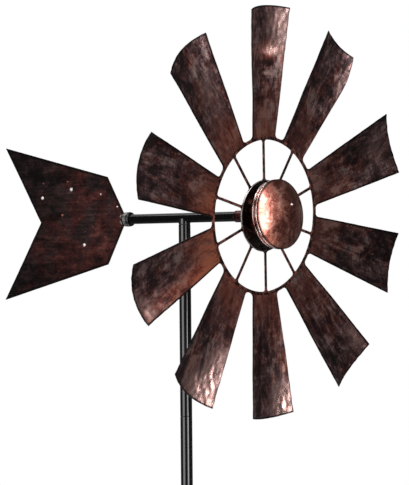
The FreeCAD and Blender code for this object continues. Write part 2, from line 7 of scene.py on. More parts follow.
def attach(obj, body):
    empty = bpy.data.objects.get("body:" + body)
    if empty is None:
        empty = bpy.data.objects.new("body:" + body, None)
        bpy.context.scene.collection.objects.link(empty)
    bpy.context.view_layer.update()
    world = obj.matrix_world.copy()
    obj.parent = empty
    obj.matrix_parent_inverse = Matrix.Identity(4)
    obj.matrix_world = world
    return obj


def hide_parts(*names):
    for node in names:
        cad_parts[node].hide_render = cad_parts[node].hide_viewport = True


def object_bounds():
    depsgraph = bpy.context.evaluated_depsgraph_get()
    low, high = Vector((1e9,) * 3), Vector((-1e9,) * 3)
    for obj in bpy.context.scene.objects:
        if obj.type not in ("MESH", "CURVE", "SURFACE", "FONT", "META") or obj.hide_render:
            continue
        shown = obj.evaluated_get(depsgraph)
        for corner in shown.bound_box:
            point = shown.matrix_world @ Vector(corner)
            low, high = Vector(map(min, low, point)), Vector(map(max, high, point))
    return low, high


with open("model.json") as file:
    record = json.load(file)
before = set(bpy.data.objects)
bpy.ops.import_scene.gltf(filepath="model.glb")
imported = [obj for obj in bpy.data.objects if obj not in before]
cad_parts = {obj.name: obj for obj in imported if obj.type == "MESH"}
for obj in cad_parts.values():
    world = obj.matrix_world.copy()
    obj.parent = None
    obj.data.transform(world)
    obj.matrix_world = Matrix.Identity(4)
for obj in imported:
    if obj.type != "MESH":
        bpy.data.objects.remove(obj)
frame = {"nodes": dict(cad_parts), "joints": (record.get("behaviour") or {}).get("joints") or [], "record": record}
cad_low, cad_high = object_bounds()
joints = {joint["name"]: joint for joint in frame["joints"]}

MM = 0.001

# ---- the wheel's own frame: X along the axle, Y and Z in the plane of the wheel ----
wheel_centre = Vector(joints["wheel_spin"]["pos_m"])
boom_z = wheel_centre.z
axle = Vector(joints["wheel_spin"]["axis"]).normalized()
wheel_side = Vector((0, 0, 1)).cross(axle).normalized()
wheel_up = axle.cross(wheel_side)
wheel_frame = Matrix((axle, wheel_side, wheel_up)).transposed().to_4x4()
wheel_frame.translation = wheel_centre
CAP_TILT = math.radians(-6.5)
cap_frame = wheel_frame @ Matrix.Rotation(CAP_TILT, 4, "Y")


# ---- small builders ----
def link(obj):
    """Put a new object in the scene."""
    bpy.context.scene.collection.objects.link(obj)
    return obj


def mesh_object(name, points, faces, smooth=True):
    """New object from points and faces."""
    mesh = bpy.data.meshes.new(name)
    mesh.from_pydata([tuple(point) for point in points], [], faces)
    mesh.update()
    for face in mesh.polygons:
        face.use_smooth = smooth
    return link(bpy.data.objects.new(name, mesh))


def add_values(obj, name, values):
    """One number per point, for a material to read."""
    layer = obj.data.attributes.new(name, "FLOAT", "POINT")
    layer.data.foreach_set("value", values)


def thicken(obj, thickness, bevel):
    """Give a surface its sheet thickness and slightly rounded edges."""
    solid = obj.modifiers.new("sheet", "SOLIDIFY")
    solid.thickness = thickness
    solid.offset = 1
    solid.use_even_offset = True
    edge = obj.modifiers.new("edges", "BEVEL")
    edge.width = bevel
    edge.segments = 2
    edge.limit_method = "ANGLE"
    edge.angle_limit = math.radians(50)


def dress(obj, material):
    """Make this the object's only material."""
    obj.data.materials.clear()
    obj.data.materials.append(material)


# ---- material builders ----
class Shader:
    """A new material with a Principled BSDF, and short ways to add nodes to it."""

    def __init__(self, name):
        self.material = bpy.data.materials.new(name)
        self.material.use_nodes = True
        self.tree = self.material.node_tree
        self.bsdf = self.tree.nodes["Principled BSDF"]
        self.coordinates = self.node("ShaderNodeTexCoord").outputs["Object"]

    def node(self, kind, **values):
        made = self.tree.nodes.new(kind)
        for key, value in values.items():
            setattr(made, key, value)
        return made

    def wire(self, source, target):
        self.tree.links.new(source, target)

    def set(self, **values):
        """Constants on the shader's own sockets; words_like_this name sockets."""
        for key, value in values.items():
            self.bsdf.inputs[key.replace("_", " ")].default_value = value

    def stretched(self, scale, offset=(0, 0, 0)):
        """Object coordinates scaled by a vector and moved by an offset."""
        mapping = self.node("ShaderNodeMapping")
        mapping.inputs["Scale"].default_value = scale
        mapping.inputs["Location"].default_value = offset
        self.wire(self.coordinates, mapping.inputs["Vector"])
        return mapping.outputs["Vector"]

    def noise(self, scale, detail=4, roughness=0.55, vector=None, distortion=0.0):
        made = self.node("ShaderNodeTexNoise")
        made.inputs["Scale"].default_value = scale
        made.inputs["Detail"].default_value = detail
        made.inputs["Roughness"].default_value = roughness
        made.inputs["Distortion"].default_value = distortion
        self.wire(vector or self.coordinates, made.inputs["Vector"])
        return made.outputs["Fac"]

    def ramp(self, value, stops):
        """Colour ramp; stops are (position, colour)."""
        made = self.node("ShaderNodeValToRGB")
        while len(made.color_ramp.elements) < len(stops):
            made.color_ramp.elements.new(0.5)
        for element, (position, colour) in zip(made.color_ramp.elements, stops):
            element.position = position
            element.color = (*colour, 1)
        self.wire(value, made.inputs["Fac"])
        return made.outputs["Color"]

    def fade(self, value, low, high, at_low=0.0, at_high=1.0):
        """Number that runs from at_low to at_high as value goes from low to high."""
        made = self.node("ShaderNodeMapRange", interpolation_type="SMOOTHSTEP")
        ends = (("From Min", low), ("From Max", high), ("To Min", at_low), ("To Max", at_high))
        for key, number in ends:
            made.inputs[key].default_value = number
        self.wire(value, made.inputs["Value"])
        return made.outputs["Result"]

    def calculate(self, operation, first, second):
        """Maths on two values, each a socket or a number."""
        made = self.node("ShaderNodeMath", operation=operation)
        for socket, value in zip(made.inputs, (first, second)):
            if isinstance(value, (int, float)):
                socket.default_value = value
            else:
                self.wire(value, socket)
        return made.outputs["Value"]

    def plus(self, first, second):
        return self.calculate("ADD", first, second)

    def minus(self, first, second):
        return self.calculate("SUBTRACT", first, second)

    def times(self, first, second):
        return self.calculate("MULTIPLY", first, second)

    def swing(self, value, share):
        """A share of how far a value is above or below one half."""
        return self.times(self.minus(value, 0.5), share)

    def mix(self, factor, first, second, blend="MIX"):
        made = self.node("ShaderNodeMix", data_type="RGBA", blend_type=blend)
        for key, value in (("Factor_Float", factor), ("A_Color", first), ("B_Color", second)):
            socket = next(item for item in made.inputs if item.identifier == key)
            if isinstance(value, (int, float)):
                socket.default_value = value
            elif isinstance(value, tuple):
                socket.default_value = (*value, 1)
            else:
                self.wire(value, socket)
        return next(item for item in made.outputs if item.identifier == "Result_Color")

    def attribute(self, name):
        return self.node("ShaderNodeAttribute", attribute_name=name).outputs["Fac"]

    def axis_value(self, index):
        """Object coordinate X, Y or Z as a number."""
        split = self.node("ShaderNodeSeparateXYZ")
        self.wire(self.coordinates, split.inputs["Vector"])
        return split.outputs[index]

    def distance_from(self, axis_frame):
        """Distance from the X axis of a frame, for round parts."""
        into = self.node("ShaderNodeMapping", vector_type="TEXTURE")
        into.inputs["Location"].default_value = axis_frame.translation
        into.inputs["Rotation"].default_value = axis_frame.to_euler()
        self.wire(self.coordinates, into.inputs["Vector"])
        flat = self.node("ShaderNodeVectorMath", operation="MULTIPLY")
        flat.inputs[1].default_value = (0, 1, 1)
        self.wire(into.outputs["Vector"], flat.inputs[0])
        length = self.node("ShaderNodeVectorMath", operation="LENGTH")
        self.wire(flat.outputs["Vector"], length.inputs[0])
        return length.outputs["Value"]

    def bump(self, height, strength, distance, before=None):
        made = self.node("ShaderNodeBump")
        made.inputs["Strength"].default_value = strength
        made.inputs["Distance"].default_value = distance
        self.wire(height, made.inputs["Height"])
        if before:
            self.wire(before, made.inputs["Normal"])
        self.wire(made.outputs["Normal"], self.bsdf.inputs["Normal"])
        return made.outputs["Normal"]

    def colour(self, source):
        self.wire(source, self.bsdf.inputs["Base Color"])

    def roughness(self, source):
        self.wire(source, self.bsdf.inputs["Roughness"])


# black of the painted shade lines along the sheet edges and round the dome's foot
SHADE_BLACK = (0.008, 0.006, 0.006)
RUST = (0.52, 0.125, 0.075)
COPPER = (0.96, 0.30, 0.17)
# pale pink of the painted highlights on the blades
HIGHLIGHT_PINK = (0.92, 0.57, 0.52)
RED_BROWNS = (
    (0.41, (0.021, 0.009, 0.009)), (0.455, (0.067, 0.025, 0.022)), (0.50, (0.140, 0.050, 0.043)),
    (0.55, (0.26, 0.100, 0.084)), (0.61, (0.56, 0.29, 0.25)),
)
MAUVE_BROWNS = (
    (0.41, (0.025, 0.015, 0.016)), (0.455, (0.066, 0.034, 0.035)), (0.50, (0.132, 0.069, 0.069)),
    (0.55, (0.24, 0.134, 0.132)), (0.61, (0.52, 0.36, 0.34)),
)
DOME_COPPERS = (
    (0.41, (0.24, 0.070, 0.052)), (0.48, (0.42, 0.132, 0.098)), (0.54, (0.55, 0.215, 0.160)),
    (0.61, (0.74, 0.42, 0.34)),
)
RIM_COPPERS = ((0.38, (0.34, 0.13, 0.11)), (0.48, (0.70, 0.42, 0.37)), (0.58, (0.92, 0.75, 0.70)))
DISH_BLACKS = (
    (0.42, (0.010, 0.007, 0.007)), (0.54, (0.035, 0.024, 0.023)), (0.64, (0.16, 0.11, 0.10)),
)
# pale colour of the painted highlight on the dish's rim
DISH_GLINT = (0.40, 0.34, 0.32)
# Where a mark starts and where it is full, or the other way round, in metres.
BLADE_SHADE_LINE = (0.0013, 0.0036)    # painted shade: a black line, in from a blade's edge
VANE_SHADE_LINE = (0.0015, 0.0055)     # the same painted shade line on the tail
DOME_SHADE_LINE = (0.0500, 0.0507)     # painted shadow: a black line, out from the dome's axis
DISH_GLINT_BAND = (0.0515, 0.0528)     # painted highlight on the dish's rim, out from the axle
FLOOR_THINS = (0.45, 1.2)        # the floor fades out, from the pole


def patina(name, offset, shade):
    """Patinated copper sheet: smudged clouds, blotches and wipe marks, with a painted shade line in black at its
    edges.

    The last argument paints the whole sheet lighter or darker, as painted light and shade.
    The sheet's length runs along its own Y. Attributes of the mesh say how near the edge is,
    where the copper shows through (in one spot a painted highlight instead), and where a pale
    pink highlight is painted on, with a painted dark reflection where that value is below zero.
    """
    s = Shader(name)
    s.set(Metallic=1.0, Coat_Weight=0.15, Coat_Roughness=0.25)
    clouds = s.noise(1, 6, 0.62, s.stretched((30, 16, 30), offset), 0.8)
    blotches = s.noise(1, 7, 0.72, s.stretched((110, 46, 110), offset), 0.5)
    lines = s.noise(1, 5, 0.75, s.stretched((330, 22, 330), offset), 0.2)
    wipes = s.noise(1, 4, 0.7, s.stretched((20, 210, 20), offset), 0.3)
    hue = s.noise(1, 4, 0.6, s.stretched((46, 34, 46), offset[::-1]), 0.6)
    flecks = s.noise(230, 5, 0.75)
    tone = s.plus(s.times(clouds, 0.52), s.times(blotches, 0.48))
    tone = s.plus(tone, s.swing(lines, 0.22))
    tone = s.plus(tone, s.swing(wipes, 0.14))
    tone = s.plus(tone, s.swing(flecks, 0.2))
    outward = s.axis_value("Y")
    calm = s.fade(outward, 0.12, 0.22, 0.8, 1.5)
    # painted light and shade: the whole sheet made lighter or darker, per blade
    tone = s.plus(s.swing(tone, calm), 0.5 + shade)
    tone = s.plus(tone, s.fade(outward, 0.12, 0.20, 0.056, 0.0))
    # painted light: pale highlights where above zero, painted dark reflections where below zero
    painted_light = s.attribute("painted_light")
    tone = s.plus(tone, s.times(painted_light, 0.03))
    reds = s.ramp(tone, RED_BROWNS)
    mauves = s.ramp(tone, MAUVE_BROWNS)
    hue = s.plus(hue, s.fade(outward, 0.12, 0.28, -0.10, 0.07))
    base = s.mix(s.fade(hue, 0.42, 0.56), reds, mauves)
    # copper showing through the patina, and on one blade a painted highlight spot
    ragged = s.times(s.attribute("bare"), s.fade(blotches, 0.4, 0.54, 0.35, 1.0))
    base = s.mix(ragged, base, s.mix(s.fade(tone, 0.44, 0.56), RUST, COPPER))
    # where the painted pink highlight shows, broken up by the clouds
    highlight_mask = s.times(painted_light, s.fade(clouds, 0.40, 0.54, 0.35, 1.0))
    base = s.mix(highlight_mask, base, HIGHLIGHT_PINK)
    # painted shade: a black line along the blade's edges
    base = s.mix(s.fade(s.attribute("edge_gap"), *BLADE_SHADE_LINE, 0.95, 0.0), base, SHADE_BLACK)
    s.colour(base)
    rough = s.plus(s.fade(tone, 0.42, 0.58, 0.44, 0.28), s.times(flecks, 0.08))
    s.roughness(s.minus(rough, s.times(highlight_mask, 0.1)))
    first = s.bump(blotches, 0.45, 0.0010)
    second = s.bump(lines, 0.25, 0.0004, first)
    s.bump(flecks, 0.22, 0.0003, second)
    return s.material


def ring_bronze(name="ring_bronze", depth=1.0):
    """Dark red-brown bronze of the ring and spokes; a higher depth is lighter."""
    s = Shader(name)
    s.set(Metallic=1.0, Coat_Weight=0.2, Coat_Roughness=0.25)
    spots = s.noise(110, 5, 0.65, distortion=0.5)
    stops = (
        (0.40, (0.018, 0.009, 0.009)), (0.5, (0.068, 0.026, 0.022)), (0.60, (0.22, 0.085, 0.065)),
    )
    s.colour(s.ramp(spots, [(at, tuple(part * depth for part in colour)) for at, colour in stops]))
    s.roughness(s.fade(spots, 0.3, 0.7, 0.34, 0.5))
    s.bump(s.noise(420, 3), 0.2, 0.0003)
    return s.material


def gloss_black(name="gloss_black", roughness=0.09, lift=0.0, gloss=1.0):
    """Black enamel with a faint orange peel; lift makes it greyer, gloss below 1 duller."""
    s = Shader(name)
    s.set(Metallic=0.0, IOR=1.5, Specular_IOR_Level=0.5 * gloss)
    s.set(Coat_Weight=0.5 * gloss, Coat_Roughness=0.05)
    dust = s.noise(160, 5, 0.7)
    dark = (0.0007 + lift, 0.0007 + lift, 0.0009 + lift)
    light = (0.0022 + lift, 0.0022 + lift, 0.0026 + lift)
    s.colour(s.ramp(dust, [(0.4, dark), (0.7, light)]))
    s.roughness(s.fade(dust, 0.3, 0.75, roughness, roughness + 0.07))
    s.bump(s.noise(300, 2), 0.015, 0.0002)
    return s.material


def bright_steel(name="zinc_steel"):
    """Zinc-plated hardware with fine turning marks."""
    s = Shader(name)
    s.set(Metallic=1.0)
    spangle = s.noise(500, 3, 0.6)
    s.colour(s.ramp(spangle, [(0.35, (0.42, 0.40, 0.39)), (0.65, (0.66, 0.63, 0.61))]))
    s.roughness(s.fade(spangle, 0.3, 0.7, 0.24, 0.4))
    s.bump(s.noise(1, 2, 0.5, s.stretched((200, 2500, 2500))), 0.1, 0.0001)
    return s.material


def dome_copper():
    """Satin copper cap: mottled dark, with small dimples and a painted shadow, a black line, round its foot."""
    s = Shader("dome_copper")
    s.set(Metallic=1.0, Coat_Weight=0.3, Coat_Roughness=0.08)
    clouds = s.noise(52, 6, 0.68, distortion=0.9)
    specks = s.noise(210, 4, 0.7, distortion=0.4)
    tone = s.plus(s.times(clouds, 0.68), s.times(specks, 0.32))
    base = s.ramp(tone, DOME_COPPERS)
    # painted shadow: a black line round the dome's foot
    base = s.mix(s.fade(s.distance_from(cap_frame), *DOME_SHADE_LINE, 0.0, 0.8), base, SHADE_BLACK)
    s.colour(base)
    s.roughness(s.fade(tone, 0.42, 0.58, 0.25, 0.32))
    first = s.bump(clouds, 0.08, 0.0008)
    s.bump(specks, 0.16, 0.0003, first)
    return s.material


def rim_copper():
    """Polished pale copper of the rims behind the dome, stained dark red in places."""
    s = Shader("rim_copper")
    s.set(Metallic=1.0, Coat_Weight=0.5, Coat_Roughness=0.04)
    stain = s.noise(70, 4, 0.6)
    s.colour(s.ramp(stain, RIM_COPPERS))
    s.roughness(s.fade(stain, 0.35, 0.65, 0.12, 0.2))
    s.bump(s.noise(60, 2), 0.05, 0.0004)
    return s.material


def hub_red():
    """Dark red lacquer on turned metal."""
    s = Shader("hub_red")
    s.set(Metallic=0.9, Coat_Weight=0.6, Coat_Roughness=0.05)
    smoke = s.noise(90, 4, 0.6)
    s.colour(s.ramp(smoke, [(0.40, (0.05, 0.010, 0.009)), (0.60, (0.24, 0.070, 0.060))]))
    s.roughness(s.fade(smoke, 0.3, 0.7, 0.14, 0.24))
    s.bump(s.noise(300, 3), 0.06, 0.0003)
    return s.material


def hub_black():
    """Near-black dish, with a painted highlight along its rim."""
    s = Shader("hub_black")
    s.set(Metallic=0.9, Coat_Weight=0.4, Coat_Roughness=0.12)
    rub = s.noise(80, 6, 0.7)
    base = s.ramp(rub, DISH_BLACKS)
    # painted highlight: a pale band round the dish's rim, broken up by the noise
    highlight_mask = s.fade(s.distance_from(wheel_frame), *DISH_GLINT_BAND)
    highlight_mask = s.times(highlight_mask, s.fade(rub, 0.42, 0.56, 0.4, 1.0))
    s.colour(s.mix(highlight_mask, base, DISH_GLINT))
    s.roughness(s.fade(rub, 0.3, 0.7, 0.22, 0.4))
    s.bump(rub, 0.1, 0.0004)
    return s.material


def nylon():
    """Dull black nylon of the bushes and the thrust washer."""
    s = Shader("bush_nylon")
    mottle = s.noise(600, 3)
    s.colour(s.ramp(mottle, [(0.35, (0.008, 0.008, 0.008)), (0.65, (0.02, 0.02, 0.019))]))
    s.roughness(s.fade(mottle, 0.3, 0.7, 0.45, 0.6))
    s.bump(mottle, 0.1, 0.0001)
    return s.material


def white_floor():
    """Pale floor that thins out to nothing away from the object."""
    s = Shader("pale_floor")
    grain = s.noise(40, 3)
    s.colour(s.ramp(grain, [(0.3, (0.80, 0.80, 0.80)), (0.7, (0.84, 0.84, 0.84))]))
    s.set(Roughness=0.9)
    length = s.node("ShaderNodeVectorMath", operation="LENGTH")
    s.wire(s.coordinates, length.inputs[0])
    s.wire(s.fade(length.outputs["Value"], *FLOOR_THINS, 1.0, 0.0), s.bsdf.inputs["Alpha"])
    return s.material


# ---- blades ----
BLADE_ROOT_R = 116.0 * MM
BLADE_ROOT_HALF = 27.3 * MM
BLADE_TIP_R = 302.0 * MM
BLADE_TIP_HALF = 46.9 * MM
BLADE_TIP_CROWN = 5.0 * MM
BLADE_LEAN = 4.8 * MM    # the real blades lean a little less than drawn
BLADE_CAMBER = 10.5 * MM
RING_OUT_R = 117.5 * MM
WEB_R = 6.0 * MM
SHEET = 1.2 * MM
BLADE_EDGE_ROUND = 0.3 * MM
FRONT_FACE = SHEET       # the front face of the root, ahead of the wheel plane
ROWS = 90
COLUMNS = 40
ROW_SPREAD = 1.3         # above 1, the rows lie closer together at the root
DENTS = 0.65 * MM        # hammer dents, deepest at the tip
DENTS_ALONG = 105        # how many to the metre
DENTS_ACROSS = 165
WARP = 1.1 * MM          # slow waviness of the sheet
WARPS_ALONG = 14
WARPS_ACROSS = 16
HAMMERED = 1.5           # how much deeper the dents are where a highlight is painted on
TUCK_FROM = 0.7          # share of the length where a bent corner starts
LIT_EDGE_GAP = 4.0 * MM       # added to the edge gap where the painted shade line is left off, on the side facing the light

# No two blades are alike. Looked at with the tip up from the front, the first of a pair is the
# left side. length, lean and twist are mm at the tip and turn is degrees. root and tip add to
# the half width, crown to the tip's bulge, and tuck takes off the tip's corners. Patches are
# (share of the length, side from -1 right to 1 left, their radii, strength). Copper patches show
# the copper through the patina, and on the third blade the one at 0.70 is a painted highlight;
# highlight patches paint a pale pink highlight, or below zero a painted dark reflection; dents
# are mm forward. A lit side has no painted shade line along its edge, and the shade value
# paints the whole blade lighter or darker, as painted light and shade.
BLADES_AS_MADE = (
    dict(length=1.0, root=(0, 1.5), tip=(0, 2.5), shade=0.001,
         painted_light=[(0.85, 0.0, 0.15, 0.6, 0.12)]),
    dict(length=-2.0, lean=-1.0, crown=-3.0, root=(0, -2.5), tip=(0, -6.5), tuck=(0, 16.0),
         lit_side=-1, shade=-0.006,
         painted_light=[(0.72, -0.8, 0.14, 0.15, 0.12)]),
    dict(length=4.5, lean=3.0, twist=3.0, root=(-3.0, -1.0), tip=(-1.0, -0.5),
         lit_side=-1, shade=0.0,
         painted_light=[(0.69, -0.35, 0.06, 0.4, 1.1), (0.90, -0.6, 0.14, 0.4, 0.8),
                 (0.515, -0.3, 0.035, 0.35, 0.6), (0.60, -0.1, 0.035, 0.4, -8.0),
                 (0.45, -0.1, 0.03, 0.3, -3.0)],
         # the second spot in the next list is a painted orange highlight, not copper showing through
         bare=[(0.0, 0.0, 0.25, 1.5, 0.3), (0.70, -0.25, 0.06, 0.45, 0.7)],
         dents=[(0.70, 0.0, 0.055, 0.45, -5.0), (0.52, 0.1, 0.035, 0.4, -3.0)]),
    dict(length=3.5, root=(0, 1.0), shade=-0.018,
         painted_light=[(0.58, -0.2, 0.14, 0.35, 0.1)], bare=[(0.1, 0.0, 0.2, 1.2, 0.3)]),
    dict(length=-6.0, lean=6.5, root=(2.5, 1.5), tip=(3.0, 3.0), shade=-0.032,
         bare=[(0.0, 0.5, 0.22, 0.9, 0.8)]),
    dict(length=2.0, turn=-0.3, shade=-0.006,
         painted_light=[(0.94, 0.75, 0.06, 0.3, 0.9)],
         bare=[(0.0, 0.0, 0.25, 1.6, 1.0), (0.3, 0.8, 0.3, 0.4, 0.7), (0.85, 0.8, 0.2, 0.4, 0.3)]),
    dict(turn=-0.5, root=(1.0, 2.5), tip=(0.5, 4.5), lit_side=1, shade=-0.022,
         painted_light=[(0.76, 0.75, 0.18, 0.38, 1.0), (0.93, 0.5, 0.13, 0.6, 1.35)],
         bare=[(0.0, 0.0, 0.25, 1.5, 0.35)]),
    dict(length=-4.5, lean=-3.0, root=(-3.5, 2.5), tip=(-1.0, 1.5), lit_side=1, shade=-0.012,
         painted_light=[(0.9, 0.65, 0.13, 0.42, 1.3)], bare=[(0.0, 0.0, 0.2, 1.5, 0.25)]),
    dict(length=-1.0, lean=5.0, turn=1.0, root=(-3.5, 3.0), tip=(0.5, 1.5), shade=-0.006,
         painted_light=[(0.84, 0.7, 0.08, 0.25, 0.3)]),
    dict(length=-2.5, root=(0, 1.8), tip=(0, 1.2), shade=-0.018),
)


def patch(share, side, spots):
    """Sum of soft round patches at a point of a blade."""
    total = 0
    for along, across, reach, width, strength in spots:
        far = ((share - along) / reach) ** 2 + ((side - across) / width) ** 2
        total += strength * math.exp(-far)
    return total


def side_half_width(radius, reach, root, tip, tuck):
    """Half width on one side, with the round corner where the blade meets the ring."""
    half = BLADE_ROOT_HALF + reach * (BLADE_TIP_HALF - BLADE_ROOT_HALF)
    half += (root * (1 - reach) + tip * reach) * MM
    half -= tuck * MM * (max(reach - TUCK_FROM, 0) / (1 - TUCK_FROM)) ** 2
    rise = radius - math.sqrt(RING_OUT_R ** 2 - BLADE_ROOT_HALF ** 2)
    if rise < WEB_R:
        half += WEB_R - math.sqrt(WEB_R ** 2 - (WEB_R - max(rise, 0)) ** 2)
    return half


def blade_mesh(name, seed, length=0, lean=0, twist=0, crown=0, root=(0, 0), tip=(0, 0),
               tuck=(0, 0), dents=(), bare=(), painted_light=(), lit_side=0):
    """One cupped blade in its own frame, along +Y, with its hand-bent unevenness."""
    points, gaps, bare_values, painted_light_values = [], [], [], []
    for row in range(ROWS + 1):
        share = (row / ROWS) ** ROW_SPREAD
        for column in range(COLUMNS + 1):
            across = 2 * column / COLUMNS - 1
            which = 0 if across > 0 else 1
            bulge = (BLADE_TIP_CROWN + crown * MM) * (1 - across ** 2)
            end = BLADE_TIP_R + length * MM + bulge
            radius = RING_OUT_R + (end - RING_OUT_R) * share
            reach = max((radius - BLADE_ROOT_R) / (BLADE_TIP_R - BLADE_ROOT_R), 0)
            foot = math.sqrt(RING_OUT_R ** 2 - (across * BLADE_ROOT_HALF) ** 2)
            radius = foot + (end - foot) * share
            half = side_half_width(radius, reach, root[which], tip[which], tuck[which])
            side = across * half
            foot = math.sqrt(RING_OUT_R ** 2 - side ** 2) if share < 0.5 else foot
            radius = foot + (end - foot) * share
            forward = FRONT_FACE + (BLADE_LEAN + lean * MM) * reach
            forward += BLADE_CAMBER * reach * across ** 2
            forward += twist * MM * across * reach + patch(reach, across, dents) * MM
            slow = noise.noise(Vector((seed * 3.7, radius * WARPS_ALONG, side * WARPS_ACROSS)))
            quick = noise.noise(Vector((radius * DENTS_ALONG, seed * 5.3, side * DENTS_ACROSS)))
            # dents are deeper under the painted highlights
            hammered = 1 + HAMMERED * max(patch(reach, across, painted_light), 0)
            forward += WARP * min(reach * 3, 1) * slow + DENTS * reach * quick * hammered
            points.append((forward, radius, side))
            # no painted shade line on the side that faces the light
            open_side = LIT_EDGE_GAP if across * lit_side > 0 else 0
            gaps.append(min(half - abs(side) + open_side, end - radius))
            bare_values.append(min(patch(reach, across, bare), 1))
            # painted highlights, and below zero painted dark reflections, for the material
            painted_light_values.append(min(patch(reach, across, painted_light), 1))
    faces = []
    for row in range(ROWS):
        for column in range(COLUMNS):
            corner = row * (COLUMNS + 1) + column
            faces.append((corner, corner + 1, corner + COLUMNS + 2, corner + COLUMNS + 1))
    obj = mesh_object(name, points, faces)
    add_values(obj, "edge_gap", gaps)
    add_values(obj, "bare", bare_values)
    add_values(obj, "painted_light", painted_light_values)
    thicken(obj, SHEET, BLADE_EDGE_ROUND)
    return obj


def node_angle(node):
    """Angle of a wheel node's middle about the axle, from the wheel's own Y."""
    inverse = wheel_frame.inverted()
    points = [inverse @ vertex.co for vertex in frame["nodes"][node].data.vertices]
    return math.atan2(sum(p.z for p in points), sum(p.y for p in points))


def make_blades():
    """Ten blades, each in place of its CAD node and turned about the axle to where that is."""
    for number, as_made in enumerate(BLADES_AS_MADE, 1):
        node = "blade_%02d" % number
        shape = dict(as_made)
        turn, shade = shape.pop("turn", 0), shape.pop("shade")
        blade = blade_mesh("cupped_" + node, number, **shape)
        angle = node_angle(node) + math.radians(turn)
        blade.matrix_world = wheel_frame @ Matrix.Rotation(angle, 4, "X")
        offset = (number * 3.1, number * 1.7, 0.4)
        dress(blade, patina("blade_bronze_%02d" % number, offset, shade))
        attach(blade, "rotor")
        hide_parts(node)


# ---- tail vane ----
VANE_THICK = 1.5 * MM
VANE_EDGE_ROUND = 0.35 * MM
VANE_WARP = 1.2 * MM     # slow waviness, growing towards the tail
VANE_DENTS = 0.3 * MM
VANE_STEPS = (60, 34)    # of each half's grid, along and up
VANE_SEAM = 0.05 * MM    # points closer than this along the middle become one
VANE_NOSE_X = -124.0
VANE_NOSE_Z = 8.0
VANE_SHOULDER_X = -159.0
VANE_SHOULDER_TOP_Z = 66.5
VANE_SHOULDER_FOOT_Z = -69.0
VANE_TAIL_TOP = (-380.0, 118.0)
VANE_TAIL_FOOT = (-384.0, -123.0)
VANE_NOTCH = (-303.0, -2.0)
# Droplets and specks on the near face: x and z from the boom, and radius, in mm.
DROPLETS = ((-236, 49, 3.0), (-299, 37, 2.9), (-209, -38, 2.8), (-173, 40, 1.5), (-138, 20, 1.5))
SPECKS = ((-256, 9, 2.2), (-244, 61, 1.8), (-208, -18, 2.2), (-297, 60, 1.8), (-190, -11, 1.8))
DROPLET_STAND_OFF = 0.2 * MM
DOME_DROPLET_AT = (0.047, 0.008, 0.019)    # in the wheel's frame; the nearest spot on the dome
DOME_DROPLET_R = 2.0 * MM


def along_edge(corners, share):
    """Point at a share of the way along a run of straight edges."""
    lengths = [(b - a).length for a, b in zip(corners, corners[1:])]
    left = share * sum(lengths)
    for (a, b), length in zip(zip(corners, corners[1:]), lengths):
        if left <= length:
            return a.lerp(b, left / length)
        left -= length
    return corners[-1].copy()


def gap_to(point, corners):
    """Distance from a point to a closed outline."""
    best = 1.0
    for a, b in zip(corners, corners[1:] + corners[:1]):
        run = b - a
        share = min(max((point - a).dot(run) / run.length_squared, 0), 1)
        best = min(best, (point - a - run * share).length)
    return best


def vane_lobe(nose, shoulder, tip, notch, outline, points, gaps, faces, flip):
    """Grid over one half of the arrow: nose to shoulder, back to the tip, in to the notch."""
    middle = Vector((nose.x, 0))
    steps_in, steps_up = VANE_STEPS
    start = len(points)
    for i in range(steps_in + 1):
        u = i / steps_in
        low = middle.lerp(notch, u)
        high = shoulder.lerp(tip, u)
        for j in range(steps_up + 1):
            v = j / steps_up
            front = along_edge([middle, nose, shoulder], v)
            spot = low.lerp(high, v) + (front - middle.lerp(shoulder, v)) * (1 - u)
            wave = noise.noise(Vector((spot.x * 11, spot.y * 11, 4.2))) * VANE_WARP * u
            dent = noise.noise(Vector((spot.x * 55, 8.1, spot.y * 55))) * VANE_DENTS * u
            points.append((spot.x, -VANE_THICK / 2 + wave + dent, spot.y + boom_z))
            gaps.append(gap_to(spot, outline))
    for i in range(steps_in):
        for j in range(steps_up):
            a = start + i * (steps_up + 1) + j
            face = (a, a + 1, a + steps_up + 2, a + steps_up + 1)
            faces.append(face if flip else face[::-1])


def make_vane():
    """The arrow of the tail: two wavy halves welded along the boom's line."""
    def flat(x, z):
        return Vector((x * MM, z * MM))

    nose_top, nose_foot = flat(VANE_NOSE_X, VANE_NOSE_Z), flat(VANE_NOSE_X, -VANE_NOSE_Z)
    top = flat(VANE_SHOULDER_X, VANE_SHOULDER_TOP_Z)
    foot = flat(VANE_SHOULDER_X, VANE_SHOULDER_FOOT_Z)
    tip_top, tip_foot, notch = flat(*VANE_TAIL_TOP), flat(*VANE_TAIL_FOOT), flat(*VANE_NOTCH)
    outline = [nose_top, top, tip_top, notch, tip_foot, foot, nose_foot]
    points, gaps, faces = [], [], []
    vane_lobe(nose_top, top, tip_top, notch, outline, points, gaps, faces, False)
    vane_lobe(nose_foot, foot, tip_foot, notch, outline, points, gaps, faces, True)
    vane = mesh_object("arrow_vane", points, faces)
    add_values(vane, "edge_gap", gaps)
    merge = vane.modifiers.new("seam", "WELD")
    merge.merge_threshold = VANE_SEAM
    thicken(vane, VANE_THICK, VANE_EDGE_ROUND)
    dress(vane, vane_bronze())
    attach(vane, "head")
    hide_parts("tail_vane")


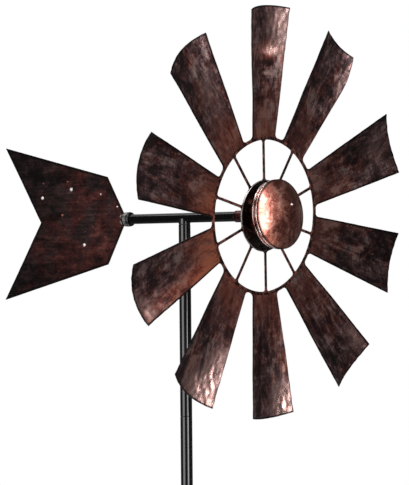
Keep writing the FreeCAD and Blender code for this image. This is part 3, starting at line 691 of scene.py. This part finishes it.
def vane_bronze():
    """Darkest sheet, streaked lengthwise: red near the nose and foot, grey at the top and tail."""
    s = Shader("vane_bronze")
    s.set(Metallic=1.0, Coat_Weight=0.1, Coat_Roughness=0.3)
    clouds = s.noise(1, 6, 0.62, s.stretched((13, 24, 24)), 1.0)
    blotches = s.noise(1, 7, 0.7, s.stretched((52, 84, 84)), 0.8)
    lines = s.noise(1, 4, 0.7, s.stretched((14, 260, 260)))
    hue = s.noise(1, 4, 0.6, s.stretched((24, 24, 24), (3.1, 0.4, 1.7)), 0.6)
    flecks = s.noise(230, 5, 0.75)
    along = s.axis_value("X")
    up = s.axis_value("Z")
    tone = s.plus(s.times(clouds, 0.55), s.times(blotches, 0.45))
    tone = s.plus(s.swing(tone, 0.8), 0.5)
    tone = s.plus(tone, s.swing(lines, 0.22))
    tone = s.plus(tone, s.swing(flecks, 0.18))
    tone = s.plus(tone, s.fade(along, -0.36, -0.24, -0.058, -0.010))
    tone = s.plus(tone, s.fade(up, 0.86, 0.92, 0.0, -0.014))
    reds = s.ramp(tone, [(0.40, (0.014, 0.007, 0.007)), (0.46, (0.042, 0.016, 0.015)),
                         (0.52, (0.105, 0.033, 0.029)), (0.60, (0.27, 0.095, 0.080))])
    greys = s.ramp(tone, [(0.40, (0.011, 0.008, 0.008)), (0.46, (0.031, 0.019, 0.019)),
                          (0.52, (0.070, 0.039, 0.038)), (0.60, (0.18, 0.105, 0.10))])
    cold = s.plus(s.fade(along, -0.34, -0.20, 0.06, -0.05), s.fade(up, 0.80, 0.92, -0.05, 0.06))
    base = s.mix(s.fade(s.plus(hue, cold), 0.42, 0.56), reds, greys)
    # painted shade: a black line along the vane's edges
    base = s.mix(s.fade(s.attribute("edge_gap"), *VANE_SHADE_LINE, 0.97, 0.0), base, SHADE_BLACK)
    s.colour(base)
    s.roughness(s.fade(tone, 0.42, 0.58, 0.5, 0.36))
    first = s.bump(blotches, 0.45, 0.0010)
    s.bump(lines, 0.25, 0.0004, first)
    return s.material


def pale_solder():
    """Pale dull metal of the droplets."""
    s = Shader("droplet_solder")
    s.set(Metallic=0.6)
    mottle = s.noise(700, 3, 0.6)
    s.colour(s.ramp(mottle, [(0.35, (0.72, 0.68, 0.66)), (0.65, (0.92, 0.90, 0.88))]))
    s.roughness(s.fade(mottle, 0.3, 0.7, 0.3, 0.42))
    s.bump(mottle, 0.08, 0.0001)
    return s.material


BEAD_HEIGHT = 0.75       # of its radius
BEAD_TURNS = 14
BEAD_RINGS = 5


def bead_mesh(name, spots):
    """Small flattened droplets, each given by centre, outward direction and radius."""
    points, faces = [], []
    turns, rings = BEAD_TURNS, BEAD_RINGS
    for centre, outward, radius in spots:
        side = outward.orthogonal().normalized()
        other = outward.cross(side)
        start = len(points)
        for ring in range(rings):
            rise = math.radians(90 * ring / rings)
            for turn in range(turns):
                angle = 2 * math.pi * turn / turns
                flat = side * math.cos(angle) + other * math.sin(angle)
                up = outward * (math.sin(rise) * BEAD_HEIGHT)
                points.append(centre + (flat * math.cos(rise) + up) * radius)
        points.append(centre + outward * radius * BEAD_HEIGHT)
        for ring in range(rings - 1):
            for turn in range(turns):
                a = start + ring * turns + turn
                b = start + ring * turns + (turn + 1) % turns
                faces.append((a, b, b + turns, a + turns))
        top = start + (rings - 1) * turns
        faces += [(top + turn, top + (turn + 1) % turns, len(points) - 1) for turn in range(turns)]
    return mesh_object(name, points, faces)


def make_droplets():
    """Droplets and specks on the tail, and one droplet on the dome."""
    near = -VANE_THICK / 2 - DROPLET_STAND_OFF
    _, on_dome, outward, _ = frame["nodes"]["dome_cap"].closest_point_on_mesh(
        wheel_frame @ Vector(DOME_DROPLET_AT)
    )
    vane_spots, vane_specks = (
        [(Vector((x * MM, near, boom_z + z * MM)), Vector((0, -1, 0)), radius * MM)
         for x, z, radius in spots]
        for spots in (DROPLETS, SPECKS)
    )
    pale = pale_solder()
    for name, spots, material, body, slot in (
        ("vane_droplets", vane_spots, pale, "head", "zinc_steel"),
        ("vane_specks", vane_specks, ring_bronze("speck_bronze", 1.6), "head", "ring_bronze"),
        ("dome_droplet", [(on_dome, outward, DOME_DROPLET_R)], pale, "rotor", "zinc_steel"),
    ):
        beads = bead_mesh(name, spots)
        dress(beads, material)
        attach(beads, body)


# ---- CAD nodes that keep their shape ----
def dress_nodes():
    """Give each CAD node the material of its slot; the boom has its own."""
    by_slot = {
        "gloss_black": gloss_black(),
        "stake_black": gloss_black("stake_black", 0.3, 0.006),
        "bare_steel": bright_steel("bare_steel"),
        "zinc_steel": bright_steel(),
        "bush_nylon": nylon(),
        "ring_bronze": ring_bronze(depth=1.5),
        "dome_copper": dome_copper(),
        "rim_copper": rim_copper(),
        "hub_black": hub_black(),
        "hub_red": hub_red(),
    }
    boom_black = gloss_black("boom_black", gloss=0.45)
    for part in frame["record"]["subparts"]:
        material = by_slot.get(part["material_slot"])
        if part["node"] == "boom_tube":
            material = boom_black
        if material:
            dress(frame["nodes"][part["node"]], material)


# ---- floor, light and camera ----
FLOOR_HALF = 3.0
FLOOR_DROP = 0.001


def make_floor():
    """Pale floor just under the lowest point."""
    size = FLOOR_HALF
    level = cad_low.z - FLOOR_DROP
    corners = [(-size, -size, 0), (size, -size, 0), (size, size, 0), (-size, size, 0)]
    floor = mesh_object("floor", corners, [(0, 1, 2, 3)], smooth=False)
    floor.location.z = level
    dress(floor, white_floor())


CAMERA_AZIMUTH = 40.52
CAMERA_ELEVATION = -1.137
CAMERA_ROLL = 0.554
CAMERA_DISTANCE = 4.85
FRAME_HEIGHT = 0.719     # metres of height in the picture, at the wheel
WHEEL_RIGHT = 0.0886     # wheel centre right of and above the middle of the picture
WHEEL_ABOVE = 0.0397
SENSOR = 36.0


def towards(azimuth, elevation):
    """Unit vector to a point seen from the object; azimuth 0 is -Y and 90 is +X."""
    a, e = math.radians(azimuth), math.radians(elevation)
    return Vector((math.sin(a) * math.cos(e), -math.cos(a) * math.cos(e), math.sin(e)))


def make_camera():
    """Long lens at the viewing angle, aimed a little left of and below the wheel."""
    data = bpy.data.cameras.new("camera")
    data.sensor_width = SENSOR
    data.lens = SENSOR * CAMERA_DISTANCE / FRAME_HEIGHT
    data.clip_end = 100
    camera = link(bpy.data.objects.new("camera", data))
    back = towards(CAMERA_AZIMUTH, CAMERA_ELEVATION)
    right = Vector((0, 0, 1)).cross(back).normalized()
    up = back.cross(right)
    roll = math.radians(CAMERA_ROLL)
    level_right, level_up = right, up
    right = level_right * math.cos(roll) - level_up * math.sin(roll)
    up = level_right * math.sin(roll) + level_up * math.cos(roll)
    place = wheel_centre + back * CAMERA_DISTANCE
    aim = wheel_centre - right * WHEEL_RIGHT - up * WHEEL_ABOVE
    back = (place - aim).normalized()
    right = up.cross(back).normalized()
    up = back.cross(right)
    turned = Matrix((right, up, back)).transposed().to_4x4()
    camera.matrix_world = Matrix.Translation(place) @ turned
    bpy.context.scene.camera = camera


def softbox(name, azimuth, elevation, distance, width, height, brightness, tint=(1, 1, 1)):
    """Rectangular lamp that faces the wheel; brightness is how bright its face looks."""
    data = bpy.data.lights.new(name, "AREA")
    data.shape = "RECTANGLE"
    data.size, data.size_y = width, height
    data.energy = brightness * math.pi * width * height
    data.color = tint
    lamp = link(bpy.data.objects.new(name, data))
    centre = Vector((0, 0, wheel_centre.z))
    lamp.location = centre + towards(azimuth, elevation) * distance
    lamp.rotation_euler = towards(azimuth, elevation).to_track_quat("Z", "Y").to_euler()
    lamp.visible_camera = False


def make_lights():
    """Soft lamps, by azimuth and elevation in degrees, distance, width and height."""
    softbox("key_right", 78, 19, 1.3, 0.47, 3.3, 6.6)
    softbox("front_right", 62, 0, 1.6, 0.35, 1.5, 2.0)
    softbox("side_right", 106, 24, 1.8, 0.7, 1.8, 0.5)
    softbox("high_back", 286, 47, 1.5, 0.22, 0.22, 5.0)
    softbox("low_front", 98, -39, 1.2, 0.5, 0.3, 1.2, (1, 0.8, 0.66))
    softbox("under", 90, -84, 0.92, 0.3, 0.3, 5.0)
    softbox("high_left", -8, 52, 1.5, 0.35, 0.35, 4.0)
    softbox("fill_left", -9, 2, 1.6, 1.2, 1.7, 2.9)
    softbox("behind_top", 246, 36, 2.6, 1.8, 1.2, 0.8)


def make_world():
    """White behind the object; a dim room everywhere else."""
    world = bpy.data.worlds.new("studio")
    bpy.context.scene.world = world
    world.use_nodes = True
    tree = world.node_tree
    tree.nodes.clear()
    room = tree.nodes.new("ShaderNodeBackground")
    room.inputs["Color"].default_value = (1, 1, 1, 1)
    room.inputs["Strength"].default_value = 0.1
    white = tree.nodes.new("ShaderNodeBackground")
    white.inputs["Color"].default_value = (1, 1, 1, 1)
    white.inputs["Strength"].default_value = 1.0
    path = tree.nodes.new("ShaderNodeLightPath")
    mix = tree.nodes.new("ShaderNodeMixShader")
    out = tree.nodes.new("ShaderNodeOutputWorld")
    tree.links.new(path.outputs["Is Camera Ray"], mix.inputs["Fac"])
    tree.links.new(room.outputs["Background"], mix.inputs[1])
    tree.links.new(white.outputs["Background"], mix.inputs[2])
    tree.links.new(mix.outputs["Shader"], out.inputs["Surface"])


make_camera()
make_blades()
make_vane()
make_droplets()
dress_nodes()
make_floor()
make_lights()
make_world()
bpy.context.scene.view_settings.view_transform = "Standard"

bpy.context.view_layer.update()
